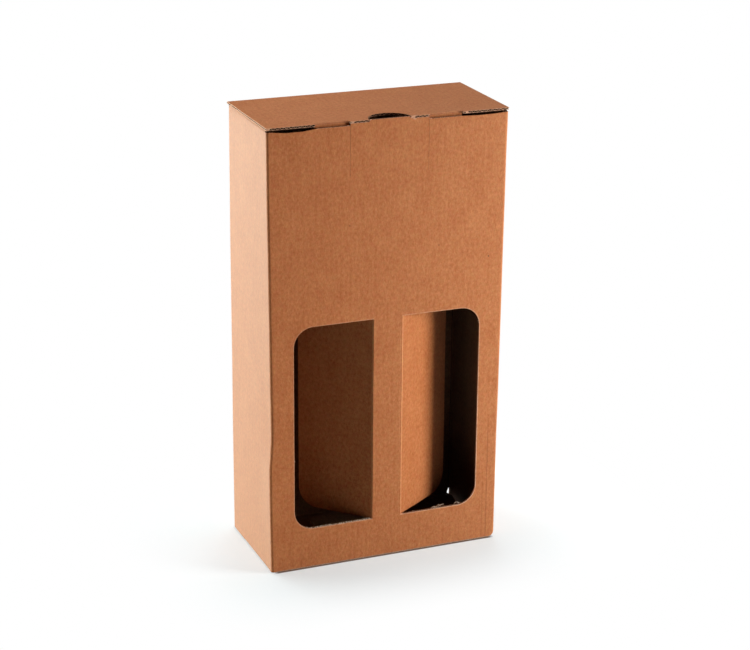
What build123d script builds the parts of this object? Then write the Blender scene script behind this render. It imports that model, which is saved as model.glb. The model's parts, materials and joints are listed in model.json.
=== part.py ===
from build123d import *
import os
from math import asin, ceil, degrees, floor, sqrt

# Two-bottle shipping box, folded from one die-cut sheet of thin corrugated board.
# Origin at the middle of the base, +X to the right, +Y to the back, +Z up.
# The front panel's outer face is at -Y. All lengths are in millimetres.

# Folded box, outside
box_width = 183.0
box_depth = 88.5
box_height = 340.0
board = 1.6

# Flutes: the wavy medium between the board's two liners, open to view in its raw edges
flute_pitch = 3.3
liner = 0.2
flute_depth = 2.0

# Folds: round outside, almost sharp inside
fold_radius = 2.0
corner_relief = 3.0  # how far a flap's root stays from a vertical fold
root_height = 10.0  # how much of a wall is shaped together with its flap
edge_rise = 1.0  # how far a wall's lower edge stays off the floor where it has no flap
layer_gap = 0.1  # between boards that lie on each other
hinge_gap = 0.15  # between the two mitred faces of a fold that moves

# Windows, and the dividers that are cut from them
band_width = 22.5
window_width = 61.95
window_height = 159.0
window_bottom = 32.0
window_corner = 15.0
divider_kerf = 0.3
divider_left_angle = 46.0  # turned inward from flat in the window, in degrees
divider_right_angle = 35.0

# Tongue between two slits in the top edge of the front panel
tongue_width = 60.0
slit_width = 0.4
slit_length = 37.3
tab_rise = 1.5
tab_corner = 1.2
tab_clearance = 0.4

# Lid, with its thumb notch and its tuck flap on two straps
lid_overhang = 0.9
notch_radius = 16.0
strap_width = 26.0
tuck_length = 27.0
tuck_corner = 12.0
tuck_taper = 3.0
tuck_slot_depth = 3.5
tuck_clearance = 0.3

# Dust flaps, which lie on the two sides' tops under the lid
dust_length = 62.0
dust_corner = 9.0
dust_taper = 4.0

# Glue flap of the seam, inside the back panel at the right
glue_width = 28.0
glue_taper = 9.0
seam_setback = 0.8
seam_relief_width = 2.4
seam_relief_height = 7.0

# Bottom flaps: the back one closes first, then the sides, then the front one with its locking tab
bottom_ramp = 13.0  # length over which a flap climbs to its own layer
front_flap_reach = 41.0
lock_width = 76.0
lock_ramp = 14.5
lock_reach = 16.0
lock_corner = 8.0
lock_clearance = 1.0
back_flap_reach = 74.0
back_slot_depth = 42.0
back_flap_taper = 8.0
back_flap_corner = 10.0
side_flap_clearance = 2.5
side_flap_back = 18.0
side_flap_taper = 14.0
side_flap_corner = 6.0

half_width = box_width / 2
half_depth = box_depth / 2
wall_x = half_width - board / 2  # middle of a side panel's board
wall_y = half_depth - board / 2
inner_x = half_width - board
inner_y = half_depth - board
lid_middle = box_height - board / 2
lid_underside = box_height - board
rest_top = lid_underside - layer_gap  # what the lid rests on reaches up to here
front_top = lid_underside - board
band_edge = band_width / 2
window_outer = band_edge + window_width
tongue_edge = tongue_width / 2
slot_edge = tongue_edge + slit_width
tuck_edge = slot_edge + strap_width
over = 5.0  # how far a cutting solid runs past what it cuts
flute_wide = flute_pitch / 2 - 2 * liner  # half of a flute's hollow at the liner that it opens to
flute_narrow = 1.5 * liner  # and half of it at the crest across the board


# Height of the middle of a board that lies on this many others on the floor
def layer(below):
    return below * (board + layer_gap) + board / 2


# The section of a board whose middle follows a line, with every fold rounded
def board_section(points):
    line = FilletPolyline(*points, radius=fold_radius - board / 2)
    return trace(line, line_width=board)


# A board with its section across X, from one X to another. Points are (y, z).
def board_across_x(points, low, high):
    section = Plane.YZ * board_section(points)
    return Pos((low + high) / 2, 0, 0) * extrude(section, (high - low) / 2, both=True)


# A board with its section across Y, from one Y to another. Points are (x, z).
def board_across_y(points, low, high):
    section = Plane.XZ * board_section(points)
    return Pos(0, (low + high) / 2, 0) * extrude(section, (high - low) / 2, both=True)


# A block between two values along each axis
def block(x_low, x_high, y_low, y_high, z_low, z_high):
    place = Pos((x_low + x_high) / 2, (y_low + y_high) / 2, (z_low + z_high) / 2)
    return place * Box(x_high - x_low, y_high - y_low, z_high - z_low)


# A closed outline with its own radius at each corner
def outline(points, radii):
    return make_face(FilletPolyline(*points, radius=radii, close=True))


# An outline of (x, z) points, run from front to back between two values of Y
def front_prism(face, y_low, y_high):
    return Pos(0, y_high, 0) * extrude(Plane.XZ * face, y_high - y_low)


# An outline of (x, y) points, run up between two heights
def plan_prism(face, z_low, z_high):
    return Pos(0, 0, z_low) * extrude(face, z_high - z_low)


# An outline of (x, z) points cut through the front panel alone
def through_front(face):
    return front_prism(face, -half_depth - over, -inner_y + board)


# Numbers of the flutes between two values of X. Even ones open outward and odd ones inward.
def flutes_between(low, high):
    half_pitch = flute_pitch / 2
    margin = flute_wide + liner
    return range(ceil((low + margin) / half_pitch), floor((high - margin) / half_pitch) + 1)


# The hollow beside one wave of the medium, in a section across the board
def flute_face(number):
    middle = number * flute_pitch / 2
    outward = -1 if number % 2 == 0 else 1
    base = outward * (board / 2 - liner)
    crest = -outward * (board / 2 - 2 * liner)
    corners = Polyline(
        (middle - flute_wide, base),
        (middle + flute_wide, base),
        (middle + flute_narrow, crest),
        (middle - flute_narrow, crest),
        close=True,
    )
    return make_face(corners)


# One flute of the front panel, opened between two heights
def upright_flute(number, z_low, z_high):
    return Pos(0, -wall_y, 0) * plan_prism(flute_face(number), z_low, z_high)


# Flutes that show in the top edge of the front panel and of its tongue
def top_edge_flutes():
    tab_edge = notch_radius - tab_clearance
    x_root = half_width - corner_relief
    stretches = [
        (-x_root, -slot_edge, front_top),
        (-tongue_edge, -tab_edge, rest_top),
        (-tab_edge, tab_edge, rest_top + tab_rise),
        (tab_edge, tongue_edge, rest_top),
        (slot_edge, x_root, front_top),
    ]
    return [
        upright_flute(number, edge - flute_depth, edge + over)
        for low, high, edge in stretches
        for number in flutes_between(low, high)
    ]


# How far a window, less an allowance, reaches up and down from its middle at one X
def window_reach(x, allowance):
    corner = window_corner - allowance
    past = max(0, abs(x) - (window_outer - window_corner))
    drop = corner - sqrt(corner * corner - past * past)
    return window_height / 2 - allowance - drop


# Flutes of one side's window or divider, clear of its fold and of its steep outer edge
def window_flutes(side):
    near = side * (band_edge + board)
    far = side * (window_outer - board)
    return flutes_between(min(near, far), max(near, far))


# Flutes that show in the top and bottom edges of a window, each cut through the opening between
def window_edge_flutes(side):
    middle = window_bottom + window_height / 2
    cuts = []
    for number in window_flutes(side):
        reach = window_reach(number * flute_pitch / 2, 0) + flute_depth
        cuts.append(upright_flute(number, middle - reach, middle + reach))
    return cuts


# Flutes that show in the top and bottom edges of a divider, still flat in its window
def divider_edge_flutes(side):
    middle = window_bottom + window_height / 2
    cuts = []
    for number in window_flutes(side):
        reach = window_reach(number * flute_pitch / 2, divider_kerf)
        for end in (-1, 1):
            inner = middle + end * (reach - flute_depth)
            outer = middle + end * (reach + over)
            cuts.append(upright_flute(number, min(inner, outer), max(inner, outer)))
    return cuts


# Flutes that show in the lid's front edge and round its thumb notch
def lid_edge_flutes():
    x_edge = half_width + lid_overhang
    stretches = [
        (-x_edge, -tuck_edge),
        (-slot_edge, -notch_radius),
        (-notch_radius, notch_radius),
        (notch_radius, slot_edge),
        (tuck_edge, x_edge),
    ]
    cuts = []
    for low, high in stretches:
        for number in flutes_between(low, high):
            x = number * flute_pitch / 2
            bite = sqrt(max(0, notch_radius * notch_radius - x * x))
            face = Pos(0, lid_middle) * flute_face(number + 1)
            cuts.append(front_prism(face, -half_depth - over, -half_depth + bite + flute_depth))
    return cuts


# Four panels round the box, with the glue flap running on from the right one inside the back one
def walls():
    seam_y = wall_y - board
    panels = [
        (half_width - seam_setback, wall_y),
        (-wall_x, wall_y),
        (-wall_x, -wall_y),
        (wall_x, -wall_y),
        (wall_x, 0),
    ]
    seam = [(wall_x, 0), (wall_x, seam_y), (half_width - glue_width, seam_y)]
    tube = extrude(board_section(panels), front_top) + extrude(board_section(seam), front_top)
    below = block(-box_width, box_width, -box_depth, box_depth, -over, edge_rise)
    return tube - below - glue_flap_ends() - seam_relief()


# What is cut off the glue flap at its top and bottom, so that it tapers
def glue_flap_ends():
    inner = half_width - glue_width - over
    outer = half_width - fold_radius - board
    low = outline(
        [(inner, -over), (outer, -over), (outer, fold_radius), (inner, fold_radius + glue_taper)], [0] * 4
    )
    high = outline(
        [
            (inner, front_top + over),
            (outer, front_top + over),
            (outer, front_top - fold_radius),
            (inner, front_top - fold_radius - glue_taper),
        ],
        [0] * 4,
    )
    ends = front_prism(low, inner_y - board - layer_gap, inner_y)
    return ends + front_prism(high, inner_y - board - layer_gap, inner_y)


# The small opening at the foot of the seam, where its fold meets the folds of the bottom
def seam_relief():
    right = inner_x + seam_setback
    left = right - seam_relief_width
    top = edge_rise + seam_relief_height
    hook = outline([(left, 0), (right, 0), (right, top), (left, edge_rise)], [0] * 4)
    return front_prism(hook, inner_y - 2 * board, half_depth + over)


# Room for the roots of the flaps, which replace the walls' plain edges there
def flap_roots():
    x_root = half_width - corner_relief
    y_root = half_depth - corner_relief
    front = block(-x_root, x_root, -half_depth - over, -inner_y, -over, root_height)
    back = block(-x_root, x_root, inner_y, half_depth + over, -over, root_height)
    y_low, y_high = side_flap_span()
    roots = front + back
    for side in (-1, 1):
        foot_low = min(side * inner_x, side * (half_width + over))
        foot_high = max(side * inner_x, side * (half_width + over))
        roots += block(foot_low, foot_high, y_low, y_high, -over, root_height)
        roots += block(foot_low, foot_high, -y_root, y_root, front_top - root_height, box_height)
    return roots


# Where a side's bottom flap starts and ends along Y at its root
def side_flap_span():
    return -inner_y + side_flap_clearance, side_flap_back


def front_bottom_flap():
    x_root = half_width - corner_relief
    x_body = half_width - corner_relief - bottom_ramp - layer_gap
    y_end = -half_depth + front_flap_reach
    points = [(-wall_y, root_height), (-wall_y, layer(0)), (y_end, layer(0))]
    plan = outline(
        [
            (-x_root, -half_depth),
            (x_root, -half_depth),
            (x_root, -inner_y + layer_gap),
            (x_body, -inner_y + side_flap_clearance),
            (x_body, y_end),
            (-x_body, y_end),
            (-x_body, -inner_y + side_flap_clearance),
            (-x_root, -inner_y + layer_gap),
        ],
        [0, 0, 0, 0, lock_corner, lock_corner, 0, 0],
    )
    body = board_across_x(points, -x_root, x_root) & plan_prism(plan, 0, root_height)
    return body + lock_tab(y_end)


# The tab climbs through the slot between the other flaps and lies on the back one
def lock_tab(y_start):
    y_ramp = y_start - board
    y_flat = y_ramp + lock_ramp
    y_end = y_flat + lock_reach
    points = [(y_start - 4 * board, layer(0)), (y_ramp, layer(0)), (y_flat, layer(3)), (y_end, layer(3))]
    plan = outline(
        [
            (-lock_width / 2, y_start - 4 * board),
            (lock_width / 2, y_start - 4 * board),
            (lock_width / 2, y_end),
            (-lock_width / 2, y_end),
        ],
        [0, 0, lock_corner, lock_corner],
    )
    return board_across_x(points, -lock_width / 2, lock_width / 2) & plan_prism(plan, 0, root_height)


def back_bottom_flap():
    x_root = half_width - corner_relief
    y_fold = half_depth - corner_relief
    y_end = half_depth - back_flap_reach
    x_slot = lock_width / 2 + lock_clearance
    points = [
        (wall_y, root_height),
        (wall_y, layer(0)),
        (y_fold, layer(0)),
        (y_fold - bottom_ramp, layer(2)),
        (y_end, layer(2)),
    ]
    plan = outline(
        [
            (-x_root, half_depth),
            (-x_root, y_fold),
            (-x_root + back_flap_taper, y_end),
            (-x_slot, y_end),
            (-x_slot, y_end + back_slot_depth),
            (x_slot, y_end + back_slot_depth),
            (x_slot, y_end),
            (x_root - back_flap_taper, y_end),
            (x_root, y_fold),
            (x_root, half_depth),
        ],
        [0, 0, back_flap_corner, back_flap_corner, 2, 2, back_flap_corner, back_flap_corner, 0, 0],
    )
    return board_across_x(points, -x_root, x_root) & plan_prism(plan, 0, root_height)


def side_bottom_flap(side):
    x_fold = half_width - corner_relief
    x_end = lock_width / 2 + 2 * lock_clearance
    y_low, y_high = side_flap_span()
    points = [
        (side * wall_x, root_height),
        (side * wall_x, layer(0)),
        (side * x_fold, layer(0)),
        (side * (x_fold - bottom_ramp), layer(1)),
        (side * x_end, layer(1)),
    ]
    plan = outline(
        [
            (side * half_width, y_low),
            (side * x_fold, y_low),
            (side * (x_fold - bottom_ramp), y_low + corner_relief),
            (side * x_end, y_low + side_flap_taper),
            (side * x_end, y_high - side_flap_taper / 2),
            (side * x_fold, y_high),
            (side * half_width, y_high),
        ],
        [0, 0, 0, side_flap_corner, side_flap_corner, 0, 0],
    )
    return board_across_y(points, y_low, y_high) & plan_prism(plan, 0, root_height)


def dust_flap(side):
    y_root = half_depth - corner_relief
    x_end = half_width - dust_length
    points = [
        (side * wall_x, front_top - root_height),
        (side * wall_x, rest_top - board / 2),
        (side * x_end, rest_top - board / 2),
    ]
    plan = outline(
        [
            (side * half_width, -y_root),
            (side * inner_x, -y_root),
            (side * x_end, -y_root + dust_taper),
            (side * x_end, y_root - dust_taper),
            (side * inner_x, y_root),
            (side * half_width, y_root),
        ],
        [0, 0, dust_corner, dust_corner, 0, 0],
    )
    return board_across_y(points, -y_root, y_root) & plan_prism(plan, 0, box_height)


# The folded corner between the back panel and the lid, before it is parted between them
def back_fold_points():
    return [(wall_y, front_top - root_height), (wall_y, lid_middle), (-half_depth, lid_middle)]


# Everything on the lid's side of the mitre at the back fold
def lid_side_of_mitre(shift):
    centre_y = half_depth - fold_radius
    centre_z = box_height - fold_radius + shift * hinge_gap / 2 * sqrt(2)
    reach = fold_radius + over
    far = box_depth + 2 * over
    face = Polyline(
        (centre_y + reach, centre_z + reach),
        (centre_y - far, centre_z - far),
        (centre_y - far, centre_z + reach),
        close=True,
    )
    return extrude(Plane.YZ * make_face(face), half_width + lid_overhang + over, both=True)


def back_fold():
    x_root = half_width - corner_relief
    corner = board_across_x(back_fold_points(), -x_root, x_root)
    upper = block(-x_root, x_root, inner_y - board, half_depth, front_top - root_height, box_height)
    return (corner & upper) - lid_side_of_mitre(-1)


# The tongue's edge stands above the front panel and carries the lid; its tab fills the thumb notch
def tongue_top():
    tab_edge = notch_radius - tab_clearance
    tab_top = rest_top + tab_rise
    low = front_top - root_height
    face = outline(
        [
            (-tongue_edge, low),
            (tongue_edge, low),
            (tongue_edge, rest_top),
            (tab_edge, rest_top),
            (tab_edge, tab_top),
            (-tab_edge, tab_top),
            (-tab_edge, rest_top),
            (-tongue_edge, rest_top),
        ],
        [0, 0, board / 2, 0, tab_corner, tab_corner, 0, board / 2],
    )
    return front_prism(face, -half_depth, -inner_y)


# One of the two slits beside the tongue, round at its foot
def slit(side):
    low = front_top - slit_length
    near = side * tongue_edge
    far = side * slot_edge
    points = [(near, box_height + over), (near, low), (far, low), (far, box_height + over)]
    round_foot = slit_width / 2 * 0.98
    return through_front(outline(points, [0, round_foot, round_foot, 0]))


# A window's outline, smaller all round by an allowance apart from its fold side
def window_outline(side, allowance):
    near = side * band_edge
    far = side * (window_outer - allowance)
    low = window_bottom + allowance
    high = window_bottom + window_height - allowance
    corner = window_corner - allowance
    return outline([(near, low), (far, low), (far, high), (near, high)], [0, corner, corner, 0])


# The mitre along a divider's fold leaves a V that closes when the divider is square to the front
def band_mitre(side):
    face = Polyline(
        (side * band_edge, -half_depth),
        (side * (band_edge - over), -half_depth + over),
        (side * (band_edge + over), -half_depth + over),
        close=True,
    )
    return plan_prism(make_face(face), window_bottom, window_bottom + window_height)


def carton():
    body = walls() - flap_roots()
    body += front_bottom_flap()
    body += back_bottom_flap()
    body += back_fold()
    body += tongue_top()
    for side in (-1, 1):
        body += side_bottom_flap(side)
        body += dust_flap(side)
        body -= slit(side)
        body -= through_front(window_outline(side, 0))
        body -= band_mitre(side) & block(
            -half_width, half_width, -half_depth, -inner_y + layer_gap, 0, box_height
        )
        body -= window_edge_flutes(side)
    return body - top_edge_flutes()


# The tuck flap leans in, so that its tip clears the front panel as the lid swings
def tuck_points():
    strap_y = -inner_y + tuck_clearance + board / 2
    swing = half_depth - strap_y
    lean = asin(tuck_length / 2 / swing)
    tip_y = strap_y + tuck_length * tuck_length / 2 / swing
    tip_z = lid_middle - tuck_length * sqrt(1 - (tuck_length / 2 / swing) ** 2)
    print(f"The tuck flap leans in by {degrees(lean):.1f} degrees")
    return [(0, lid_middle), (strap_y, lid_middle), (tip_y, tip_z)]


def tuck_flap():
    points = tuck_points()
    foot = points[-1][1] - board
    slot_top = lid_underside - tuck_slot_depth
    shape = outline(
        [
            (-tuck_edge, box_height),
            (-tuck_edge + tuck_taper, foot),
            (tuck_edge - tuck_taper, foot),
            (tuck_edge, box_height),
        ],
        [0, tuck_corner, tuck_corner, 0],
    )
    flap = board_across_x(points, -tuck_edge, tuck_edge) & front_prism(shape, -half_depth, half_depth)
    slot = block(-slot_edge, slot_edge, -half_depth, 0, slot_top, lid_underside)
    return flap - slot


def lid():
    x_edge = half_width + lid_overhang
    panel = board_across_x(back_fold_points(), -x_edge, x_edge) & lid_side_of_mitre(1)
    fold_start = -inner_y + tuck_clearance + fold_radius
    for side in (-1, 1):
        near = min(side * slot_edge, side * tuck_edge)
        far = max(side * slot_edge, side * tuck_edge)
        panel -= block(near, far, -half_depth - over, fold_start, front_top, box_height + over)
    flap = tuck_flap()
    flap -= block(-slot_edge, slot_edge, -half_depth, fold_start, lid_underside - layer_gap, box_height + over)
    notch = Pos(0, -half_depth, lid_middle) * Cylinder(notch_radius, 2 * board)
    return (panel + flap) - notch - lid_edge_flutes()


# A divider is made flat in its window, then turned inward about its fold
def divider(side, angle):
    flat = front_prism(window_outline(side, divider_kerf), -half_depth, -inner_y)
    fold = Polyline(
        (side * (band_edge + hinge_gap), -half_depth),
        (side * (band_edge + hinge_gap + over), -half_depth + over),
        (side * (band_edge - over), -half_depth + over),
        (side * (band_edge - over), -half_depth),
        close=True,
    )
    flat -= plan_prism(make_face(fold), 0, box_height)
    flat -= divider_edge_flutes(side)
    return Pos(side * band_edge, -half_depth, 0) * Rot(0, 0, side * angle) * (
        Pos(-side * band_edge, half_depth, 0) * flat
    )


parts = {
    "carton": carton(),
    "lid": lid(),
    "divider_left": divider(-1, divider_left_angle),
    "divider_right": divider(1, divider_right_angle),
}
os.makedirs("parts", exist_ok=True)
for name, solid in parts.items():
    export_step(solid, f"parts/{name}.step")

# The lid turns about a line just outside the round of the back fold
pivot_reach = fold_radius * (1 - sqrt(0.5)) - hinge_gap / 2
print(f"Lid pivot at y {half_depth - pivot_reach:.4f}, z {box_height - pivot_reach:.4f}")
print(f"Divider pivots at x {band_edge:.4f} either side, y {-half_depth:.4f}")
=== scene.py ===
import json
import random
from math import cos, hypot, pi, radians, sin, sqrt

import bmesh
import bpy
from mathutils import Matrix, Vector, noise


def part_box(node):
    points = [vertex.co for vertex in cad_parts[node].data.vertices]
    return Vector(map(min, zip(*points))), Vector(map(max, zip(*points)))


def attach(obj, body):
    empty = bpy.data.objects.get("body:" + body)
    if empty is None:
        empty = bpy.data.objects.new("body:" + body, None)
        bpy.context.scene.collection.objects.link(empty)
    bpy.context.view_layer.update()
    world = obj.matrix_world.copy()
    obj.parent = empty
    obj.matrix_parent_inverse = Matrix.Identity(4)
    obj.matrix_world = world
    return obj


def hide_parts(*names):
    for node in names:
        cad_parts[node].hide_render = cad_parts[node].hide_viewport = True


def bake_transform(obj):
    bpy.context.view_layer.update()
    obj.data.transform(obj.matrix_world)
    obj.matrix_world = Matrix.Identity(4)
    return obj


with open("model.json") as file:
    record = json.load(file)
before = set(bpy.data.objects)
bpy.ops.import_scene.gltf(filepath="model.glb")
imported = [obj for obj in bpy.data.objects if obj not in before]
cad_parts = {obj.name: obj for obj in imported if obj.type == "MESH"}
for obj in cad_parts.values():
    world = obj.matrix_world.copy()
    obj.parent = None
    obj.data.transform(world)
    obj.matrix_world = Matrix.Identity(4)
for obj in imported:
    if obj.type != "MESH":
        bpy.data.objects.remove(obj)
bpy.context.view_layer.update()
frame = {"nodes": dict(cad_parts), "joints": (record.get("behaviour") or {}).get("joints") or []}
mm = 0.001
scene = bpy.context.scene
print("Frame loaded:", sorted(frame["nodes"]))

# The board as it was cut, in millimetres
board = {
    "thick": 1.6,
    "foldRadius": 2.0,
    "fluteMouth": 2.5,  # a flute's hollow is this wide at its liner
    "fluteCrest": 0.6,  # and this wide across the board
    "fluteRise": 1.0,
    "flutePitch": 3.3,
}

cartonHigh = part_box("carton")[1]
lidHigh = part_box("lid")[1]
halfWidth = cartonHigh.x / mm
halfDepth = cartonHigh.y / mm
boxTop = lidHigh.z / mm
lidUnder = boxTop - board["thick"]
frontTop = lidUnder - board["thick"]
joints = {joint["name"]: joint for joint in frame["joints"]}
bandEdge = joints["divider_right_fold"]["pos_m"][0] / mm
frontReach = 2 * board["thick"] - halfDepth  # all of the front's board has a smaller Y

# The tongue in the front's top edge, the slits beside it, and the tuck flap's straps beyond them
tongue = {"edge": 30.0, "slit": 0.4, "length": 40.0, "closedTo": 0.17, "strap": 26.0}
slotEdge = tongue["edge"] + tongue["slit"]
strapEdge = slotEdge + tongue["strap"]

# The windows: the knife took the kerf round each divider, and frayed the board as far as the rim
windowShape = {"outer": 73.2, "corner": 15.0, "kerf": 0.3, "rim": 0.85}
rimShows = {
    "noise": (0.5, 3, 0.7),  # per millimetre, detail, roughness
    "patches": (0.35, 0.6, 0.25, 0.9),  # the noise from and to, and how much of the rim shows there
    "fadesAbove": 50,
    "atHead": 0.6,
    "leftToRight": (0.6, 1.25),
}
panelLow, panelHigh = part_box("divider_left")
windowFoot = panelLow.z / mm - windowShape["kerf"]
windowHead = panelHigh.z / mm + windowShape["kerf"]
random.seed(7)
noise.seed_set(7)  # noise_vector takes its seed from the clock otherwise


# Node helpers. What feeds an input is another node's output or a plain value.

def feed(tree, node, inputs):
    for name, value in inputs.items():
        if isinstance(value, bpy.types.NodeSocket):
            tree.links.new(value, node.inputs[name])
        else:
            node.inputs[name].default_value = value


def addNode(tree, kind, settings=None, inputs=None):
    node = tree.nodes.new("ShaderNode" + kind)
    for name, value in (settings or {}).items():
        setattr(node, name, value)
    feed(tree, node, inputs or {})
    return node


def calculate(tree, operation, first, second=0.0, third=0.0):
    values = {0: first, 1: second, 2: third}
    return addNode(tree, "Math", {"operation": operation}, values).outputs[0]


def minus(tree, first, second):
    return calculate(tree, "SUBTRACT", first, second)


def times(tree, value, *factors):
    for factor in factors:
        value = calculate(tree, "MULTIPLY", value, factor)
    return value


# The long side of a right angle between two lengths
def longSide(tree, first, second):
    square = times(tree, second, second)
    return calculate(tree, "SQRT", calculate(tree, "MULTIPLY_ADD", first, first, square))


def vectorMath(tree, operation, values, output="Vector"):
    return addNode(tree, "VectorMath", {"operation": operation}, values).outputs[output]


def partsOf(tree, vector):
    return addNode(tree, "SeparateXYZ", None, {"Vector": vector}).outputs


def inMillimetres(tree, vector):
    return vectorMath(tree, "SCALE", {"Vector": vector, "Scale": 1 / mm})


def remap(tree, value, low, high, outLow=0.0, outHigh=1.0):
    settings = {"interpolation_type": "SMOOTHSTEP"}
    inputs = {"Value": value, "From Min": low, "From Max": high, "To Min": outLow, "To Max": outHigh}
    return addNode(tree, "MapRange", settings, inputs).outputs["Result"]


def stretched(tree, vector, scale, turn=0.0):
    inputs = {"Vector": vector, "Scale": scale, "Rotation": (0, 0, turn)}
    return addNode(tree, "Mapping", None, inputs).outputs["Vector"]


def noiseAt(tree, vector, scale, detail=2.0, rough=0.5, output="Fac"):
    inputs = {"Vector": vector, "Scale": scale, "Detail": detail, "Roughness": rough}
    return addNode(tree, "TexNoise", None, inputs).outputs[output]


def mixColours(tree, factor, first, second, blend="MIX"):
    settings = {"data_type": "RGBA", "blend_type": blend}
    return addNode(tree, "Mix", settings, {0: factor, 6: first, 7: second}).outputs[2]


def newGroup(name, inputs, outputs):
    tree = bpy.data.node_groups.new(name, "ShaderNodeTree")
    for direction, sockets in (("INPUT", inputs), ("OUTPUT", outputs)):
        for label, kind in sockets.items():
            tree.interface.new_socket(label, in_out=direction, socket_type="NodeSocket" + kind)
    return tree, tree.nodes.new("NodeGroupInput").outputs, tree.nodes.new("NodeGroupOutput")


# The layers of the paper's tone: noise per millimetre across and along the flutes, turn, detail, roughness
paperLayers = {
    "streaks": ((0.42, 0.045, 0.5), 0, 3, 0.65),
    "fineStreaks": ((2.0, 0.3, 1.0), 0, 2, 0.5),
    "grain": ((0.46, 0.34, 1.0), 0, 4, 0.76),
    "fibreLeft": ((3.4, 0.42, 1.0), 24, 2, 0.4),
    "fibreRight": ((3.6, 0.45, 1.0), -37, 2, 0.4),
}
paperRelief = {"fineStreaks": 0.02, "grain": 0.035, "fibreLeft": 0.02}  # heights in millimetres

# The same in all directions: noise per millimetre, detail, roughness
paperNoise = {
    "clouds": (0.05, 4, 0.6),
    "specks": (0.55, 3, 0.6),
    "tints": (0.32, 3, 0.85),
    "patches": (0.035, 2, 0.5),
}

# Where noise turns into pale flecks, dark specks and patches of clear flutes: from, to, how much at each
paperSpots = {
    "fleck": (0.68, 0.78, 0.0, 0.35),
    "speck": (0.74, 0.79, 0.0, 0.55),
    "patch": (0.35, 0.65, 0.35, 1.0),
}
paperRoughness = (0.3, 0.7)  # how much the grain changes it, and its middle
paperAmounts = ("Clouds", "Streaks", "Grain", "Fibres", "Tints", "Flutes")


# Paper: clouds of tone, streaks along the flutes, long fibres, specks and the flutes' washboard.
# Pattern is in millimetres, X across the flutes and Y along them.
def makePaperGroup():
    tree, given, result = newGroup(
        "kraftPaper",
        {"Pattern": "Vector", "Dark": "Color", "Light": "Color", **dict.fromkeys(paperAmounts, "Float")},
        {"Color": "Color", "Roughness": "Float", "Height": "Float"},
    )
    pattern = given["Pattern"]
    clouds = noiseAt(tree, pattern, *paperNoise["clouds"])
    specks = noiseAt(tree, pattern, *paperNoise["specks"])
    layers = {
        name: noiseAt(tree, stretched(tree, pattern, scale, radians(turn)), 1.0, detail, rough)
        for name, (scale, turn, detail, rough) in paperLayers.items()
    }

    tone = calculate(tree, "MULTIPLY_ADD", minus(tree, clouds, 0.5), given["Clouds"], 0.5)
    strengths = ("Streaks", "Streaks", "Grain", "Fibres", "Fibres")
    for layer, strength in zip(layers.values(), strengths):
        tone = calculate(tree, "MULTIPLY_ADD", minus(tree, layer, 0.5), given[strength], tone)
    colour = mixColours(tree, calculate(tree, "MAXIMUM", tone, 0.0), given["Dark"], given["Light"])
    tints = noiseAt(tree, pattern, *paperNoise["tints"], "Color")
    colour = mixColours(tree, given["Tints"], colour, tints, "OVERLAY")
    fleck = remap(tree, layers["fibreLeft"], *paperSpots["fleck"])
    colour = mixColours(tree, fleck, colour, given["Light"])
    speck = remap(tree, specks, *paperSpots["speck"])
    colour = mixColours(tree, speck, colour, given["Dark"])
    uneven = minus(tree, layers["grain"], 0.5)
    roughness = calculate(tree, "MULTIPLY_ADD", uneven, *paperRoughness)
    turn = times(tree, partsOf(tree, pattern)["X"], 2 * pi / board["flutePitch"])
    patchy = remap(tree, noiseAt(tree, pattern, *paperNoise["patches"]), *paperSpots["patch"])
    height = times(tree, calculate(tree, "SINE", turn), given["Flutes"], patchy)
    for name, relief in paperRelief.items():
        height = calculate(tree, "MULTIPLY_ADD", layers[name], relief, height)
    feed(tree, result, {"Color": colour, "Roughness": roughness, "Height": height})
    return tree


foldWearAndFootShade = {"reach": 2.6, "noise": (0.35, 4, 0.7), "footShadeHeight": (0.1, 0.9), "footShadeRagged": 0.8}


# The upright folds rub pale, and the foot of the walls gets painted shade, a dark ragged band where the box
# meets the floor. Position is Object coordinates in metres.
def makeWearAndFootShadeGroup():
    tree, given, result = newGroup("foldWearAndFootShade", {"Position": "Vector"}, {"Mask": "Float", "FootShade": "Float"})
    inMm = inMillimetres(tree, given["Position"])
    parts = partsOf(tree, inMm)
    fromSide = minus(tree, calculate(tree, "ABSOLUTE", parts["X"]), halfWidth)
    fromFront = minus(tree, calculate(tree, "ABSOLUTE", parts["Y"]), halfDepth)
    fromFold = times(tree, longSide(tree, fromSide, fromFront), 1 / foldWearAndFootShade["reach"])
    near = calculate(tree, "MAXIMUM", minus(tree, 1.0, fromFold), 0.0)
    uneven = noiseAt(tree, inMm, *foldWearAndFootShade["noise"])
    # painted shade: the foot of the walls darkens up to a ragged height, where the box meets the floor
    height = calculate(tree, "MULTIPLY_ADD", uneven, -foldWearAndFootShade["footShadeRagged"], parts["Z"])
    footShade = remap(tree, height, *foldWearAndFootShade["footShadeHeight"], 1, 0)
    feed(tree, result, {"Mask": times(tree, near, uneven), "FootShade": footShade})
    return tree


# Flutes that were crushed by the press or by handling show as faint upright lines in the front panel
crushedFlutes = {
    "wander": 0.5,  # how far the lines stray, in millimetres like the rest
    "wanderNoise": (0.08, 2, 0.5),
    "ends": (4, 30),  # the lines fade over these lengths, at the foot and at the head
    "lines": [  # x, lowest z, highest z, half width, strength
        (82.4, -5, 112, 0.8, 0.65),
        (79.0, -5, 62, 0.7, 0.4),
        (-68.3, -5, 33, 0.8, 0.4),
        (-26.3, -5, 33, 0.8, 0.35),
        (4.3, -5, 33, 0.7, 0.35),
        (41.0, -5, 30, 0.6, 0.25),
        (60.0, -5, 29, 0.6, 0.3),
    ],
    "specks": [(79.2, 229.2, 0.6), (-30.3, 263.8, 0.45), (39.2, 242.0, 0.45)],  # x, z, radius
    "strapCrease": (-41.75, 339.4, 0.4, 0.9),  # y, z, half width, strength
    "torn": (19.0, -44.2, 339.8, 3.2),  # where the thumb has frayed the notch's right end: place, reach
    "tornNoise": (1.1, 3, 0.7),
    "tornAbove": (0.47, 0.55),
}


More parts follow.
